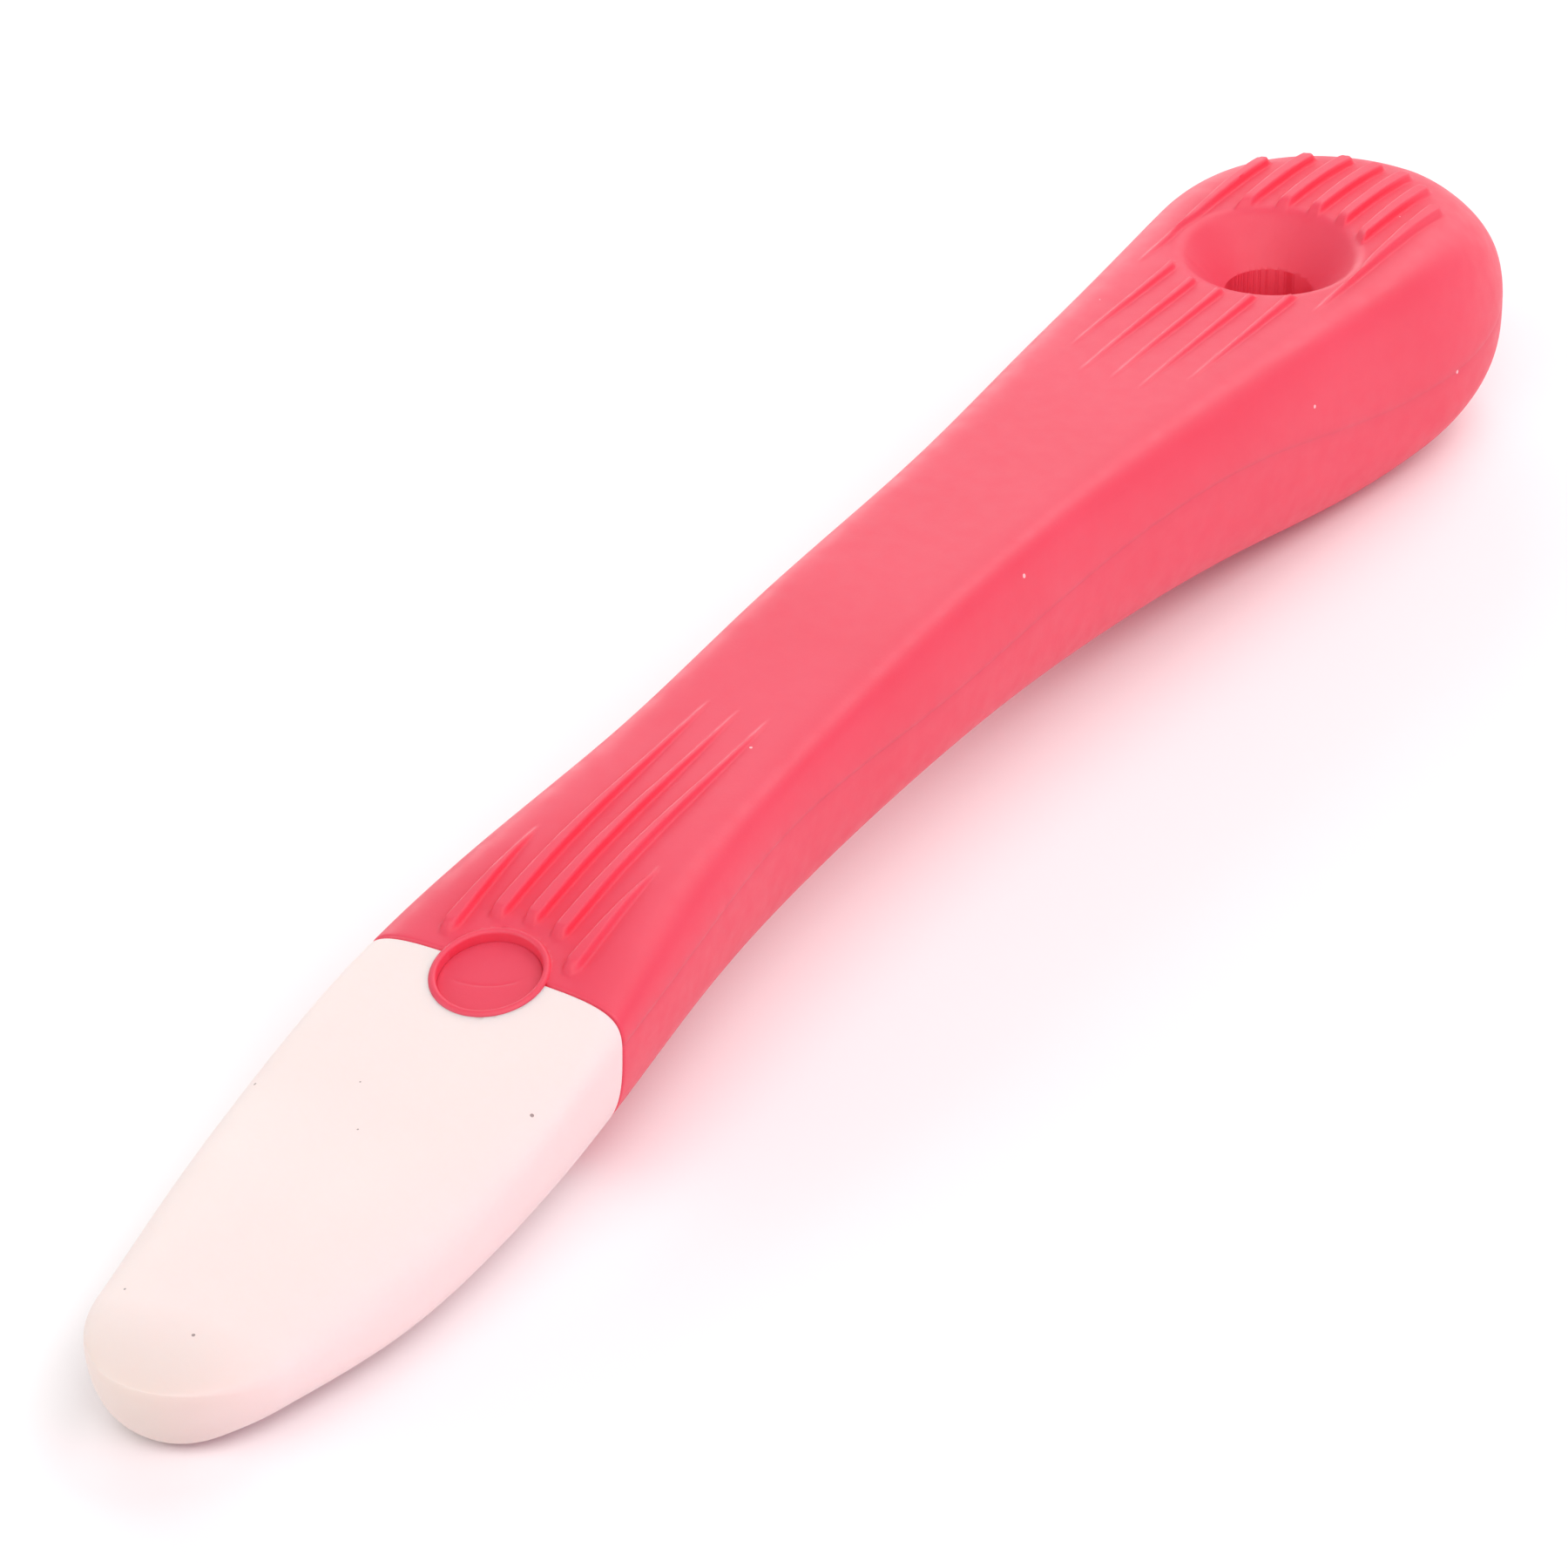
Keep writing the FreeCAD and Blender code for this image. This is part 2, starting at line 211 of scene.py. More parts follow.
CAMERA_AZIMUTH, CAMERA_ELEVATION, CAMERA_DISTANCE = -58.8, 32.15, 0.613
CAMERA_LENS, CAMERA_SENSOR = 212.7, 36
CAMERA_CLIP_END = 10


# ---------------------------------------------------------------- body shape

def natural_spline(xs, values):
    """Natural cubic spline through the stations, straight beyond them."""
    gaps = np.diff(xs)
    count = len(xs)
    system = np.eye(count)
    change = np.zeros(count)
    for i in range(1, count - 1):
        system[i, i - 1:i + 2] = gaps[i - 1], 2 * (gaps[i - 1] + gaps[i]), gaps[i]
        slopes = np.diff(values[i - 1:i + 2]) / gaps[i - 1:i + 1]
        change[i] = 6 * (slopes[1] - slopes[0])
    bends = np.linalg.solve(system, change)

    def value_at(x):
        i = np.clip(np.searchsorted(xs, x, side="right") - 1, 0, count - 2)
        gap = gaps[i]
        a = (xs[i + 1] - x) / gap
        b = (x - xs[i]) / gap
        bend = (a ** 3 - a) * bends[i] + (b ** 3 - b) * bends[i + 1]
        return a * values[i] + b * values[i + 1] + bend * gap ** 2 / 6

    return value_at


half_width_at, bottom_at, widest_at, top_at, upper_square_at, lower_square_at, lean_at = (
    natural_spline(STATIONS[:, 0], STATIONS[:, column]) for column in range(1, 8))


def end_rounding(distance, cap):
    """Share of its full size that the body has at a distance from a rounded end."""
    length, squareness = cap
    left = np.clip(1 - distance / length, 0, 1)
    return (1 - left ** squareness) ** (1 / squareness)


def section(x, inset=0.0):
    """Half width, widest height, rise above it and drop below it, drawn inset from the skin."""
    plan = end_rounding(x - inset, NOSE_PLAN) * end_rounding(LENGTH - inset - x, BUTT_PLAN)
    butt_side = end_rounding(LENGTH - inset - x, BUTT_SIDE)
    widest = widest_at(x)
    width = (half_width_at(x) - inset) * plan
    rise = (top_at(x) - inset - widest) * end_rounding(x - inset, NOSE_CROWN) * butt_side
    drop = (widest - bottom_at(x) - inset) * end_rounding(x - inset, NOSE_SIDE) * butt_side
    return width, widest, rise, drop


def smooth_step(low, high, value):
    """0 below low, 1 above high and an even rise between them."""
    t = np.clip((value - low) / (high - low), 0, 1)
    return t * t * (3 - 2 * t)


def level_at(offset, square, lean):
    """How far up a half section is, 0 to 1, at an offset given as a fraction of its half width."""
    low = np.zeros(np.shape(offset))
    high = np.ones(np.shape(offset))
    for _ in range(HALVINGS):
        middle = (low + high) / 2
        across = np.abs(offset) / (1 - lean * middle ** 2)
        above = np.clip(1 - across ** square, 0, 1) ** (1 / square) > middle
        low = np.where(above, middle, low)
        high = np.where(above, high, middle)
    return (low + high) / 2


def top_height(x, y):
    """Height of the plain top skin over a point in plan."""
    width, widest, rise, _ = section(x)
    return widest + rise * level_at(y / width, upper_square_at(x), lean_at(x))


def bottom_height(x, y):
    """Height of the plain under skin over a point in plan."""
    width, widest, _, drop = section(x)
    return widest - drop * level_at(y / width, lower_square_at(x), 0.0)


def rib_rise(x, y):
    """Height of the grip ribs over a point in plan."""
    total = np.zeros(np.broadcast(x, y).shape)
    sets = ((FRONT_RIBS, FRONT_RIB_PITCH, True), (BUTT_RIBS, BUTT_RIB_PITCH, False))
    for spans, pitch, blunt_first in sets:
        for row, (start, end) in enumerate(spans):
            offset = y - (row - (len(spans) - 1) / 2) * pitch
            blunt, point = (start, end) if blunt_first else (end, start)
            heading = 1 if point > blunt else -1
            along = (x - blunt) * heading - RIB_HALF_WIDTH
            taper = np.clip(along / (abs(point - blunt) - RIB_HALF_WIDTH), 0, 1)
            half = RIB_HALF_WIDTH + (RIB_POINT_HALF_WIDTH - RIB_HALF_WIDTH) * taper
            reach = np.hypot(np.minimum(along, 0), offset)
            crown = 1 - smooth_step(half - RIB_SLOPE, half + RIB_SLOPE, reach)
            height = RIB_HEIGHT * (1 - taper ** 3) * (along < abs(point - blunt))
            total = np.maximum(total, crown * height)
    from_hole = np.hypot(x - LAND_X, y) - LAND_RADIUS
    from_edge = np.abs(y) / (section(x)[0] * (1 - lean_at(x)))
    clear_of_hole = smooth_step(-RIB_SLOPE, RIB_SLOPE, from_hole)
    return total * clear_of_hole * (1 - smooth_step(*RIB_FADE, from_edge))


def soft_minimum(a, b, blend):
    """The lower of two heights, rounded off where they are within the blend of each other."""
    mix = np.clip(0.5 + 0.5 * (b - a) / blend, 0, 1)
    return b + (a - b) * mix - blend * mix * (1 - mix)


def funnel_height(x, y):
    """Height of the upper funnel's cone over a point in plan."""
    slope = FUNNEL_DEPTH / (MOUTH_RADIUS - THROAT_RADIUS)
    return top_at(HOLE_X) + (np.hypot(x - HOLE_X, y) - MOUTH_RADIUS) * slope


def upper_relief(x, y, z):
    """The top skin with its ribs and its funnel."""
    return soft_minimum(z + rib_rise(x, y), funnel_height(x, y), MOUTH_BLEND)


def lower_relief(x, y, z):
    """The under skin with its funnel, the upper one's mirror image about the throat's middle."""
    cone = top_at(HOLE_X) + bottom_at(HOLE_X) - funnel_height(x, y)
    return -soft_minimum(-z, -cone, MOUTH_BLEND)


# ---------------------------------------------------------------- mesh building

def side_angles(first, steps):
    """Angles from the first one down to the widest line, gathered at the section's corner."""
    even = np.linspace(0, math.pi / 2, CORNER_TABLE)
    crowded = even + CORNER_CROWDING * np.sin(4 * even) / 4
    share = np.linspace(1, 0, steps + 1)[None, 1:] * np.interp(first, crowded, even)
    return np.interp(share, even, crowded)


def half_skin(xs, upper, columns, inset=0.0, parting_groove=False):
    """Grid of points over one half of the skin, from the left widest line to the right one.
    The inner and outer columns on top run straight along the tool, so the ribs follow them."""
    inner_columns, outer_columns, side_columns = columns
    width, widest, rise, drop = (value[:, None] for value in section(xs, inset))
    square = (upper_square_at if upper else lower_square_at)(xs)[:, None]
    lean = lean_at(xs)[:, None] if upper else 0.0
    height = rise if upper else -drop
    inner = np.minimum(INNER_HALF_WIDTH, INNER_SHARE * width)
    outer = np.minimum(OUTER_HALF_WIDTH, OUTER_SHARE * width)
    outer_y = inner + (outer - inner) * np.linspace(0, 1, outer_columns + 1)[None, 1:]
    lift = level_at(outer / width, square, lean)
    angle = side_angles(np.arctan2(lift, outer / width / (1 - lean * lift ** 2)), side_columns)
    size = (np.cos(angle) ** square + np.sin(angle) ** square) ** (1 / square)
    side_level = np.sin(angle) / size
    side_y = width * np.cos(angle) / size * (1 - lean * side_level ** 2)
    if parting_groove:
        away = np.hypot(width - side_y, side_level * height)
        side_y = side_y - PARTING_DEPTH * (1 - smooth_step(0, PARTING_WIDTH, away))
    right_y = np.concatenate((outer_y, side_y), axis=1)
    right_level = np.concatenate((level_at(outer_y / width, square, lean), side_level), axis=1)
    inner_y = inner * np.linspace(1, -1, inner_columns + 1)[None]
    inner_level = level_at(inner_y / width, square, lean)
    y = np.concatenate((right_y[:, ::-1], inner_y, -right_y), axis=1)
    level = np.concatenate((right_level[:, ::-1], inner_level, right_level), axis=1)
    x = np.broadcast_to(np.reshape(xs, (-1, 1)), y.shape)
    return np.stack((x, y, widest + level * height), axis=-1)


def grid_faces(rows, columns, wrap):
    """Quads of a grid, optionally closed round from the last column to the first."""
    last = columns if wrap else columns - 1
    faces = []
    for row in range(rows - 1):
        base = row * columns
        for column in range(last):
            following = (column + 1) % columns
            faces.append((base + column, base + following, base + columns + following,
                          base + columns + column))
    return faces


def mesh_object(name, points, faces):
    """A Blender object from points in the modelling frame."""
    placed = np.array(points, float) - (LENGTH / 2, 0, 0)
    mesh = bpy.data.meshes.new(name)
    mesh.from_pydata((placed * MM).tolist(), [], faces)
    tidy = bmesh.new()
    tidy.from_mesh(mesh)
    bmesh.ops.recalc_face_normals(tidy, faces=tidy.faces)
    tidy.to_mesh(mesh)
    tidy.free()
    obj = bpy.data.objects.new(name, mesh)
    bpy.context.scene.collection.objects.link(obj)
    return obj


def tube_solid(name, rings):
    """Closed solid from a stack of rings with equal point counts, capped at both ends."""
    rows, columns = rings.shape[:2]
    faces = grid_faces(rows, columns, wrap=True)
    faces.append(tuple(range(columns)))
    faces.append(tuple((rows - 1) * columns + column for column in reversed(range(columns))))
    return mesh_object(name, rings.reshape(-1, 3), faces)


def turned_rings(x, profile, steps=ROUND_STEPS):
    """Rings about an upright axis at x, one for each (radius, height, skin) of the profile.
    Where a skin is given, a function of x and y, the height is measured from it."""
    angles = np.arange(steps) * 2 * math.pi / steps
    rings = []
    for radius, height, skin in profile:
        ring_x = x + radius * np.cos(angles)
        ring_y = radius * np.sin(angles)
        base = skin(ring_x, ring_y) if skin else np.zeros(steps)
        rings.append(np.stack((ring_x, ring_y, height + base), axis=-1))
    return np.array(rings)


def turned_ring(name, x, profile):
    """Closed solid turned about an upright axis from a closed profile that lies clear of it."""
    rings = turned_rings(x, profile)
    rows, columns = rings.shape[:2]
    faces = grid_faces(rows, columns, wrap=True)
    closing = (rows - 1) * columns
    for column in range(columns):
        following = (column + 1) % columns
        faces.append((closing + column, closing + following, following, column))
    return mesh_object(name, rings.reshape(-1, 3), faces)


def edge_profile(radius, height, outline, skin):
    """Profile points of an edge whose outline starts out from a radius and up from a height."""
    return [(radius + out, height + up, skin) for out, up in outline]


def cylinder(x, radius, low, high, steps=ROUND_STEPS, high_radius=None):
    """Upright cylinder to cut or join with, or a cone if its upper radius differs."""
    profile = ((radius, low, None), (high_radius or radius, high, None))
    return tube_solid("tool", turned_rings(x, profile, steps))


def slab(low_x, high_x):
    """Slice right across the tool, to cut with."""
    corners = [(-TALL, -TALL), (TALL, -TALL), (TALL, TALL), (-TALL, TALL)]
    rings = [[(x, y, z) for y, z in corners] for x in (low_x, high_x)]
    return tube_solid("tool", np.array(rings))


def combine(target, operation, *tools):
    """Applies boolean operations to target's mesh and removes the tools."""
    for tool in tools:
        modifier = target.modifiers.new(operation, "BOOLEAN")
        modifier.operation = operation
        modifier.solver = "MANIFOLD"
        modifier.object = tool
        shaped = target.evaluated_get(bpy.context.evaluated_depsgraph_get())
        mesh = bpy.data.meshes.new_from_object(shaped)
        target.modifiers.clear()
        target.data = mesh
        bpy.data.objects.remove(tool)
    return target


def copy_of(node):
    """A closed copy of a CAD node's mesh, to cut with."""
    obj = bpy.data.objects.new("tool", frame["nodes"][node].data.copy())
    bpy.context.scene.collection.objects.link(obj)
    sewn = bmesh.new()
    sewn.from_mesh(obj.data)
    bmesh.ops.remove_doubles(sewn, verts=sewn.verts, dist=SEW_DISTANCE * MM)
    sewn.to_mesh(obj.data)
    sewn.free()
    return obj


def stations(*spans):
    """Row positions: each span is (start, end, step), and its end is the next one's start."""
    rows = [np.arange(start, end - step / 4, step) for start, end, step in spans]
    return np.append(np.concatenate(rows), spans[-1][1])


def end_rows(start, end, count):
    """Rows that crowd together towards a rounded end."""
    return start + (end - start) * np.sin(np.linspace(0, math.pi / 2, count + 1))[1:]


def closed_rings(xs, columns, inset=0.0):
    """Whole sections, as rings, at each x."""
    upper = half_skin(xs, True, columns, inset)
    lower = half_skin(xs, False, columns, inset)
    return np.concatenate((upper, lower[:, -2:0:-1]), axis=1)


def edge_inset(distance, radius):
    """How far a rounded edge lies inside the skin at a distance from the edge."""
    gap = np.clip(radius - distance, 0, radius)
    return radius - np.sqrt(radius ** 2 - gap ** 2)


# ---------------------------------------------------------------- pieces

def cavity():
    """Space inside the body, a wall's thickness in from the skin."""
    first = WALL + END_GAP
    last = LENGTH - WALL - END_GAP
    middle = stations((first + END_SPAN, last - END_SPAN, CAVITY_STEP))
    butt = end_rows(last - END_SPAN, last, CAVITY_END_ROWS)
    nose = first + last - butt[::-1]
    return tube_solid("tool", closed_rings(np.concatenate((nose, middle, butt)), COARSE_COLUMNS, WALL))


def handle_void():
    """Hollow of the handle, less its webs, its peg posts and the boss of the hang hole."""
    void = cavity()
    half = WEB_THICKNESS / 2
    top, bottom = float(top_at(HOLE_X)), float(bottom_at(HOLE_X))
    narrow, wide, reach = THROAT_RADIUS + WALL, MOUTH_RADIUS + WALL, FUNNEL_DEPTH + WALL
    kept = [slab(x - half, x + half) for x in WEB_STATIONS]
    kept += [cylinder(x, POST_RADIUS, -TALL, tang_middle(x)) for x in PEG_STATIONS]
    kept.append(cylinder(HOLE_X, narrow, bottom - CUT_MARGIN, top + CUT_MARGIN))
    kept.append(cylinder(HOLE_X, narrow, top - reach, top, high_radius=wide))
    kept.append(cylinder(HOLE_X, wide, bottom, bottom + reach, high_radius=narrow))
    return combine(void, "DIFFERENCE", *kept)


def tang_middle(x):
    """Height of the middle of the tang's thickness."""
    return float((bottom_at(x) + top_at(x)) / 2)


def pegs():
    """Pegs that hang from the upper shell, cross the tang and end in the lower shell's posts."""
    return [cylinder(x, PEG_RADIUS, tang_middle(x) - TANG_THICKNESS / 2 - PEG_REACH,
                     float(top_at(x)) - WALL / 2, PEG_STEPS) for x in PEG_STATIONS]


def upper_ear():
    """Ring that laps over the tip, with rounded lips, and the ledge under the rivet's head."""
    lap_radius = EAR_RADIUS - EAR_LIP
    profile = [(lap_radius, EAR_FLOOR, None), (lap_radius, EAR_LIP_FOOT, top_height)]
    profile += edge_profile(EAR_RADIUS, 0, EAR_OUTER_EDGE, top_height)
    profile += edge_profile(HEAD_RADIUS, 0, EAR_INNER_EDGE, top_height)
    profile += [(HEAD_RADIUS, HEAD_UNDERSIDE, None), (SHANK_RADIUS, HEAD_UNDERSIDE, None),
                (SHANK_RADIUS, EAR_FLOOR, None)]
    return turned_ring("tool", EAR_X, profile)


def lower_ear():
    """Ring round the staked end of the rivet, flush with the under skin."""
    profile = [(EAR_RADIUS, LOWER_EAR_CEILING, None)]
    profile += edge_profile(EAR_RADIUS, 0, LOWER_EAR_OUTER_EDGE, bottom_height)
    profile += edge_profile(STAKE_RADIUS, 0, LOWER_EAR_INNER_EDGE, bottom_height)
    profile += [(STAKE_RADIUS, STAKE_TOP, None), (SHANK_RADIUS, STAKE_TOP, None),
                (SHANK_RADIUS, LOWER_EAR_CEILING, None)]
    return turned_ring("tool", EAR_X, profile)


def soft_tip():
    """Silicone paddle with its skirt, cut out for the tang, the ears and the rivet's shank."""
    nose = END_SPAN - end_rows(0.0, END_SPAN - END_GAP, NOSE_ROWS)[::-1]
    plain = stations((END_SPAN, JOINT_X - TIP_EDGE, TIP_STEP))
    edge = np.linspace(JOINT_X - TIP_EDGE, JOINT_X, TIP_EDGE_ROWS + 1)[1:]
    xs = np.concatenate((nose, plain, edge))
    tip = tube_solid("silicone_tip", closed_rings(xs, PLAIN_COLUMNS, edge_inset(JOINT_X - xs, TIP_EDGE)))
    skirt_rows = stations((JOINT_X - SKIRT_LAP, SKIRT_END, SKIRT_STEP))
    combine(tip, "UNION", tube_solid("tool", closed_rings(skirt_rows, COARSE_COLUMNS, WALL)))
    ear_space = cylinder(EAR_X, EAR_RADIUS - EAR_LIP, EAR_FLOOR, TALL)
    lower_space = cylinder(EAR_X, EAR_RADIUS, -TALL, LOWER_EAR_CEILING)
    shank = cylinder(EAR_X, SHANK_RADIUS, -TALL, TALL)
    return combine(tip, "DIFFERENCE", copy_of("tang"), ear_space, lower_space, shank)


def shell_rows():
    """Row positions along the handle, close together where there are ribs."""
    edge = np.linspace(JOINT_X, JOINT_X + SHELL_EDGE, SHELL_EDGE_ROWS + 1)[:-1]
    plain = stations((JOINT_X + SHELL_EDGE, FRONT_ROWS_END, FRONT_STEP),
                     (FRONT_ROWS_END, BUTT_ROWS_START, MIDDLE_STEP),
                     (BUTT_ROWS_START, BUTT_END_START, BUTT_STEP))
    return np.concatenate((edge, plain, end_rows(BUTT_END_START, LENGTH - END_GAP, BUTT_END_ROWS)))


def half_solid(name, upper, columns, relief):
    """Closed solid between one half of the handle's skin and the surface where the shells meet."""
    xs = shell_rows()
    skin = half_skin(xs, upper, columns, edge_inset(xs - JOINT_X, SHELL_EDGE), parting_groove=True)
    skin[..., 2] = relief(skin[..., 0], skin[..., 1], skin[..., 2])
    skin[:, (0, -1), 2] = widest_at(xs)[:, None]
    return tube_solid(name, skin)


def throat():
    """Cutter for the straight bore between the two funnels."""
    return cylinder(HOLE_X, THROAT_RADIUS, -TALL, TALL, THROAT_STEPS)


def rivet_bore():
    """The three cutters that make room for the rivet: head, shank and staked end."""
    head = cylinder(EAR_X, HEAD_RADIUS, HEAD_UNDERSIDE, TALL)
    shank = cylinder(EAR_X, SHANK_RADIUS, -TALL, TALL)
    stake = cylinder(EAR_X, STAKE_RADIUS, -TALL, STAKE_TOP)
    return head, shank, stake


def upper_shell():
    """Ribbed half of the handle, with the upper ear and the pegs."""
    shell = half_solid("upper_shell", True, FINE_COLUMNS, upper_relief)
    combine(shell, "DIFFERENCE", handle_void(), copy_of("tang"), *rivet_bore())
    combine(shell, "UNION", upper_ear(), *pegs())
    return combine(shell, "DIFFERENCE", throat())


def lower_shell():
    """Plain half of the handle, with the lower ear and the peg posts."""
    shell = half_solid("lower_shell", False, PLAIN_COLUMNS, lower_relief)
    combine(shell, "DIFFERENCE", handle_void(), copy_of("tang"), *rivet_bore())
    combine(shell, "UNION", lower_ear())
    return combine(shell, "DIFFERENCE", throat(), *pegs())


def rivet_face_height(x, y):
    """The top skin over the rivet, less the fine curved line where the plastic met in its face."""
    from_arc = np.hypot(x - EAR_X - WELD_CENTRE[0], y - WELD_CENTRE[1]) - WELD_RADIUS
    start, end = WELD_FADES
    along = smooth_step(*start, y) * (1 - smooth_step(*end, y))
    return top_height(x, y) - WELD_DEPTH * along * np.exp(-(from_arc / WELD_HALF_WIDTH) ** 2)


def rivet():
    """Sunk head, shank and staked end."""
    radii = np.linspace(AXIS_GAP, HEAD_FLAT_RADIUS, HEAD_RINGS)
    profile = [(radius, -HEAD_DEPTH, rivet_face_height) for radius in radii]
    profile += edge_profile(HEAD_RADIUS, -HEAD_DEPTH, HEAD_EDGE, rivet_face_height)
    profile += [(HEAD_RADIUS, HEAD_UNDERSIDE, None), (SHANK_RADIUS, HEAD_UNDERSIDE, None),
                (SHANK_RADIUS, STAKE_TOP, None), (STAKE_RADIUS, STAKE_TOP, None)]
    profile += edge_profile(STAKE_RADIUS, STAKE_DEPTH, STAKE_EDGE, bottom_height)
    profile += [(STAKE_RADIUS / 2, STAKE_DEPTH, bottom_height), (AXIS_GAP, STAKE_DEPTH, bottom_height)]
    return tube_solid("rivet", turned_rings(EAR_X, profile))


def finish_piece(piece, node, material):
    """Smooths a piece, gives it its material and puts it in its CAD node's place."""
    piece.data.shade_smooth()
    piece.data.set_sharp_from_angle(angle=math.radians(SHARP_ANGLE))
    piece.data.materials.clear()
    piece.data.materials.append(material)
    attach(piece, "root")
    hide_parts(node)
    return piece


# ---------------------------------------------------------------- materials

def connect(material, value, socket):
    """Sets a socket to a value, or links it to the value if that is a socket itself."""
    if isinstance(value, bpy.types.NodeSocket):
        material.node_tree.links.new(value, socket)
    else:
        socket.default_value = value


def add_node(material, kind, settings=None, **inputs):
    """A node with its settings, and its inputs, by name, set to values or linked to sockets."""
    node = material.node_tree.nodes.new(kind)
    for key, value in (settings or {}).items():
        setattr(node, key, value)
    for key, value in inputs.items():
        connect(material, value, node.inputs[key])
    return node


def new_material(name):
    """A node material, its shader and the place on the object that its textures use, in metres."""
    material = bpy.data.materials.new(name)
    material.use_nodes = True
    shader = material.node_tree.nodes["Principled BSDF"]
    place = add_node(material, "ShaderNodeTexCoord").outputs["Object"]
    return material, shader, place


def noise(material, place, scale, detail):
    """Value of a noise texture, its scale in repeats per metre."""
    return add_node(material, "ShaderNodeTexNoise", Vector=place, Scale=scale, Detail=detail).outputs[0]


def ramp(material, value, low, high, out_low=0.0, out_high=1.0):
    """A value carried from one range to another and held at the ends."""
    node = add_node(material, "ShaderNodeMapRange", {"clamp": True}, Value=value)
    for index, number in enumerate((low, high, out_low, out_high), start=1):
        node.inputs[index].default_value = number
    return node.outputs[0]


def mix_colour(material, factor, first, second):
    node = add_node(material, "ShaderNodeMix", {"data_type": "RGBA"})
    for index, value in ((0, factor), (6, first), (7, second)):
        connect(material, value, node.inputs[index])
    return node.outputs[2]


def clouded(material, cloud, tones):
    """Colour that drifts between two tones with a noise."""
    return mix_colour(material, ramp(material, cloud, *NOISE_RANGE), *tones)


def math_node(material, operation, first, second):
    node = add_node(material, "ShaderNodeMath", {"operation": operation})
    connect(material, first, node.inputs[0])
    connect(material, second, node.inputs[1])
    return node.outputs[0]


def specks(material, place, sizes):
    """Mask of sparse round specks of uneven size, one at most in each cell."""
    cell, radius = sizes
    cells = add_node(material, "ShaderNodeTexVoronoi", Vector=place, Scale=1 / (cell * MM))
    colour = add_node(material, "ShaderNodeSeparateColor", Color=cells.outputs["Color"])
    keep = ramp(material, colour.outputs[0], SPECK_SHARE, 1.0)
    size = math_node(material, "MULTIPLY", keep, radius / cell)
    return math_node(material, "LESS_THAN", cells.outputs["Distance"], size)


def finish_surface(material, shader, colour, roughness, relief, strength, depth):
    """Gives the shader its colour, its roughness and a fine relief of a depth in metres."""
    bump = add_node(material, "ShaderNodeBump", Height=relief, Strength=strength, Distance=depth)
    connect(material, colour, shader.inputs["Base Color"])
    connect(material, roughness, shader.inputs["Roughness"])
    connect(material, bump.outputs[0], shader.inputs["Normal"])


def coral_plastic():
    """Satin moulded plastic: fine tool-room grain, faint cloudiness, a little dust, and painted shade:
    a deeper red in hollows, standing in for light that has been through the plastic several times."""
    material, shader, place = new_material("coral_plastic")
    base = clouded(material, noise(material, place, scale=90, detail=3), CORAL)
    dusty = mix_colour(material, specks(material, place, CORAL_SPECKS), base, CORAL_DUST)
    opening = add_node(material, "ShaderNodeAmbientOcclusion", {"samples": 8, "only_local": True},
                       Distance=HOLLOW_REACH * MM).outputs["AO"]
    # painted shade: where ambient occlusion finds a hollow, the coral is tinted a deeper red
    deep = ramp(material, opening, *HOLLOW_OPENING, 1.0, 0.0)
    colour = mix_colour(material, deep, dusty, CORAL_PAINTED_SHADE)
    grain = noise(material, place, scale=4200, detail=2)
    mottle = noise(material, place, scale=700, detail=3)
    satin = ramp(material, mottle, *NOISE_RANGE, out_low=0.42, out_high=0.52)
    roughness = math_node(material, "ADD", satin, math_node(material, "MULTIPLY", deep, HOLLOW_ROUGHNESS))
    relief = math_node(material, "ADD", grain, math_node(material, "MULTIPLY", mottle, 0.3))
    finish_surface(material, shader, colour, roughness, relief, strength=0.07, depth=0.00008)
    shader.inputs["Specular IOR Level"].default_value = 0.5
    shader.inputs["Subsurface Weight"].default_value = 0.25
    shader.inputs["Subsurface Radius"].default_value = (1.0, 0.25, 0.2)
    shader.inputs["Subsurface Scale"].default_value = 0.0012
    return material


def silicone():
    """Off-white translucent rubber with a powdery skin, painted shade darkening its nose, and specks of
    clay dust.
    """
    material, shader, place = new_material("silicone")
    cloud = noise(material, place, scale=60, detail=4)
    base = clouded(material, cloud, SILICONE)
    # painted shade: the tip is darkened from its nose back to a wandering edge
    along = add_node(material, "ShaderNodeSeparateXYZ", Vector=place).outputs[0]
    nose_shade_reach = math_node(material, "ADD", along, math_node(material, "MULTIPLY", cloud, NOSE_SHADE_WANDER * MM))
    nose_shade_from, nose_shade_to = ((end - LENGTH / 2) * MM for end in (NOSE_SHADE_START, NOSE_SHADE_END))
    nose_shade = ramp(material, nose_shade_reach, nose_shade_from, nose_shade_to, 1.0, 0.0)
    nose_shaded = mix_colour(material, nose_shade, base, SILICONE_NOSE_SHADE)
    colour = mix_colour(material, specks(material, place, CLAY_SPECKS), nose_shaded, CLAY_DUST)
    grain = noise(material, place, scale=2600, detail=3)
    dimple = noise(material, place, scale=350, detail=2)
    roughness = ramp(material, dimple, *NOISE_RANGE, out_low=0.5, out_high=0.62)
    relief = math_node(material, "ADD", grain, math_node(material, "MULTIPLY", dimple, 1.5))
    finish_surface(material, shader, colour, roughness, relief, strength=0.12, depth=0.0001)
    shader.inputs["Specular IOR Level"].default_value = 0.35
    shader.inputs["Subsurface Weight"].default_value = 0.5
    shader.inputs["Subsurface Radius"].default_value = (1.0, 0.75, 0.65)
    shader.inputs["Subsurface Scale"].default_value = 0.0015
    return material


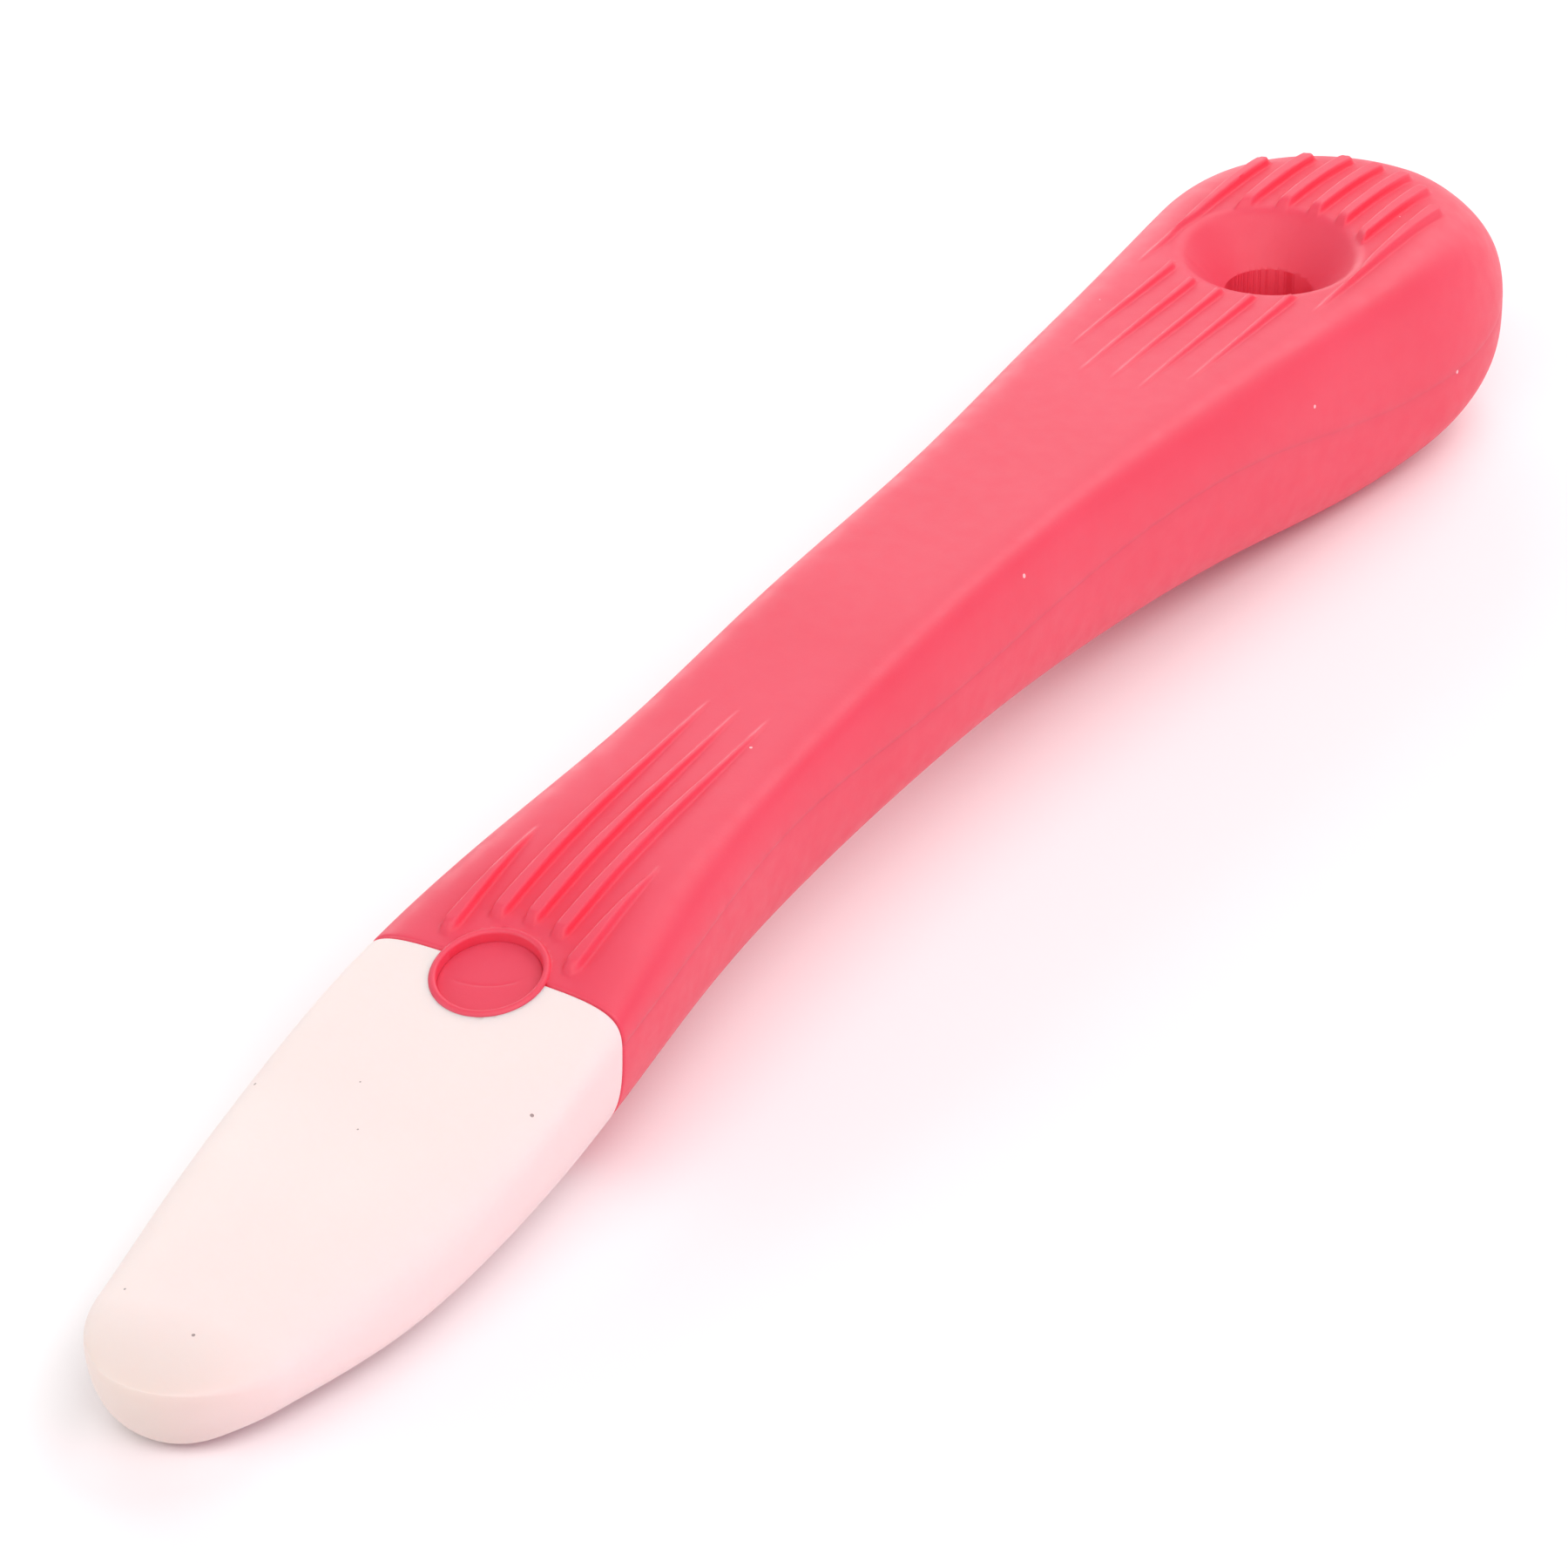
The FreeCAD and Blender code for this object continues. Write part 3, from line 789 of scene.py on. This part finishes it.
def tang_plastic():
    """Natural, unpigmented nylon with flow streaks along the strip."""
    material, shader, place = new_material("tang_plastic")
    stretched = add_node(material, "ShaderNodeMapping", Vector=place, Scale=(60, 900, 900)).outputs[0]
    streak = noise(material, stretched, scale=1.0, detail=3)
    colour = clouded(material, streak, NYLON)
    finish_surface(material, shader, colour, 0.5, streak, strength=0.1, depth=0.0001)
    return material


def table_white():
    """Plain pale laminate."""
    material, shader, place = new_material("table_white")
    colour = clouded(material, noise(material, place, scale=8, detail=2), TABLE)
    connect(material, colour, shader.inputs["Base Color"])
    shader.inputs["Roughness"].default_value = 0.55
    shader.inputs["Specular IOR Level"].default_value = 0.3
    return material


# ---------------------------------------------------------------- stage

def add_floor():
    half = FLOOR_HALF_WIDTH
    corners = [(-half, -half, 0), (half, -half, 0), (half, half, 0), (-half, half, 0)]
    mesh = bpy.data.meshes.new("table")
    mesh.from_pydata(corners, [], [(0, 1, 2, 3)])
    obj = bpy.data.objects.new("table", mesh)
    bpy.context.scene.collection.objects.link(obj)
    mesh.materials.append(table_white())


def place_aimed(obj, azimuth, elevation, distance, target):
    """Puts obj on a sphere round target, looking at it. Azimuth 0 looks along +Y."""
    turn, tilt = math.radians(azimuth), math.radians(elevation)
    away = Vector((math.sin(turn) * math.cos(tilt), -math.cos(turn) * math.cos(tilt), math.sin(tilt)))
    obj.location = target + away * distance
    obj.rotation_euler = away.to_track_quat("Z", "Y").to_euler()
    bpy.context.scene.collection.objects.link(obj)


def add_softbox(azimuth, elevation, distance, brightness, colour):
    """A round lamp that lights the tool's middle the same from any distance."""
    share = distance / TENT_RADIUS
    light = bpy.data.lights.new("softbox", "AREA")
    light.shape = "DISK"
    light.size = SOFTBOX_SIZE * share
    light.energy = brightness * share ** 2
    light.color = colour
    place_aimed(bpy.data.objects.new("softbox", light), azimuth, elevation, distance, Vector((0, 0, 0)))


def add_lighting():
    scene = bpy.context.scene
    scene.view_settings.view_transform = "Standard"
    world = bpy.data.worlds.new("studio")
    world.use_nodes = True
    sky = world.node_tree.nodes["Background"]
    sky.inputs["Color"].default_value = (*WHITE, 1)
    sky.inputs["Strength"].default_value = SKY
    scene.world = world
    for lamp in TENT:
        add_softbox(*lamp)


def add_camera():
    data = bpy.data.cameras.new("camera")
    data.lens = CAMERA_LENS
    data.sensor_width = CAMERA_SENSOR
    data.clip_end = CAMERA_CLIP_END
    obj = bpy.data.objects.new("camera", data)
    place_aimed(obj, CAMERA_AZIMUTH, CAMERA_ELEVATION, CAMERA_DISTANCE, CAMERA_TARGET)
    bpy.context.scene.camera = obj


add_camera()
add_lighting()
add_floor()
coral = coral_plastic()
finish_piece(soft_tip(), "soft_tip", silicone())
finish_piece(upper_shell(), "handle_upper_shell", coral)
finish_piece(lower_shell(), "handle_lower_shell", coral)
finish_piece(rivet(), "lock_rivet", coral)
tang = frame["nodes"]["tang"]
tang.data.materials.clear()
tang.data.materials.append(tang_plastic())
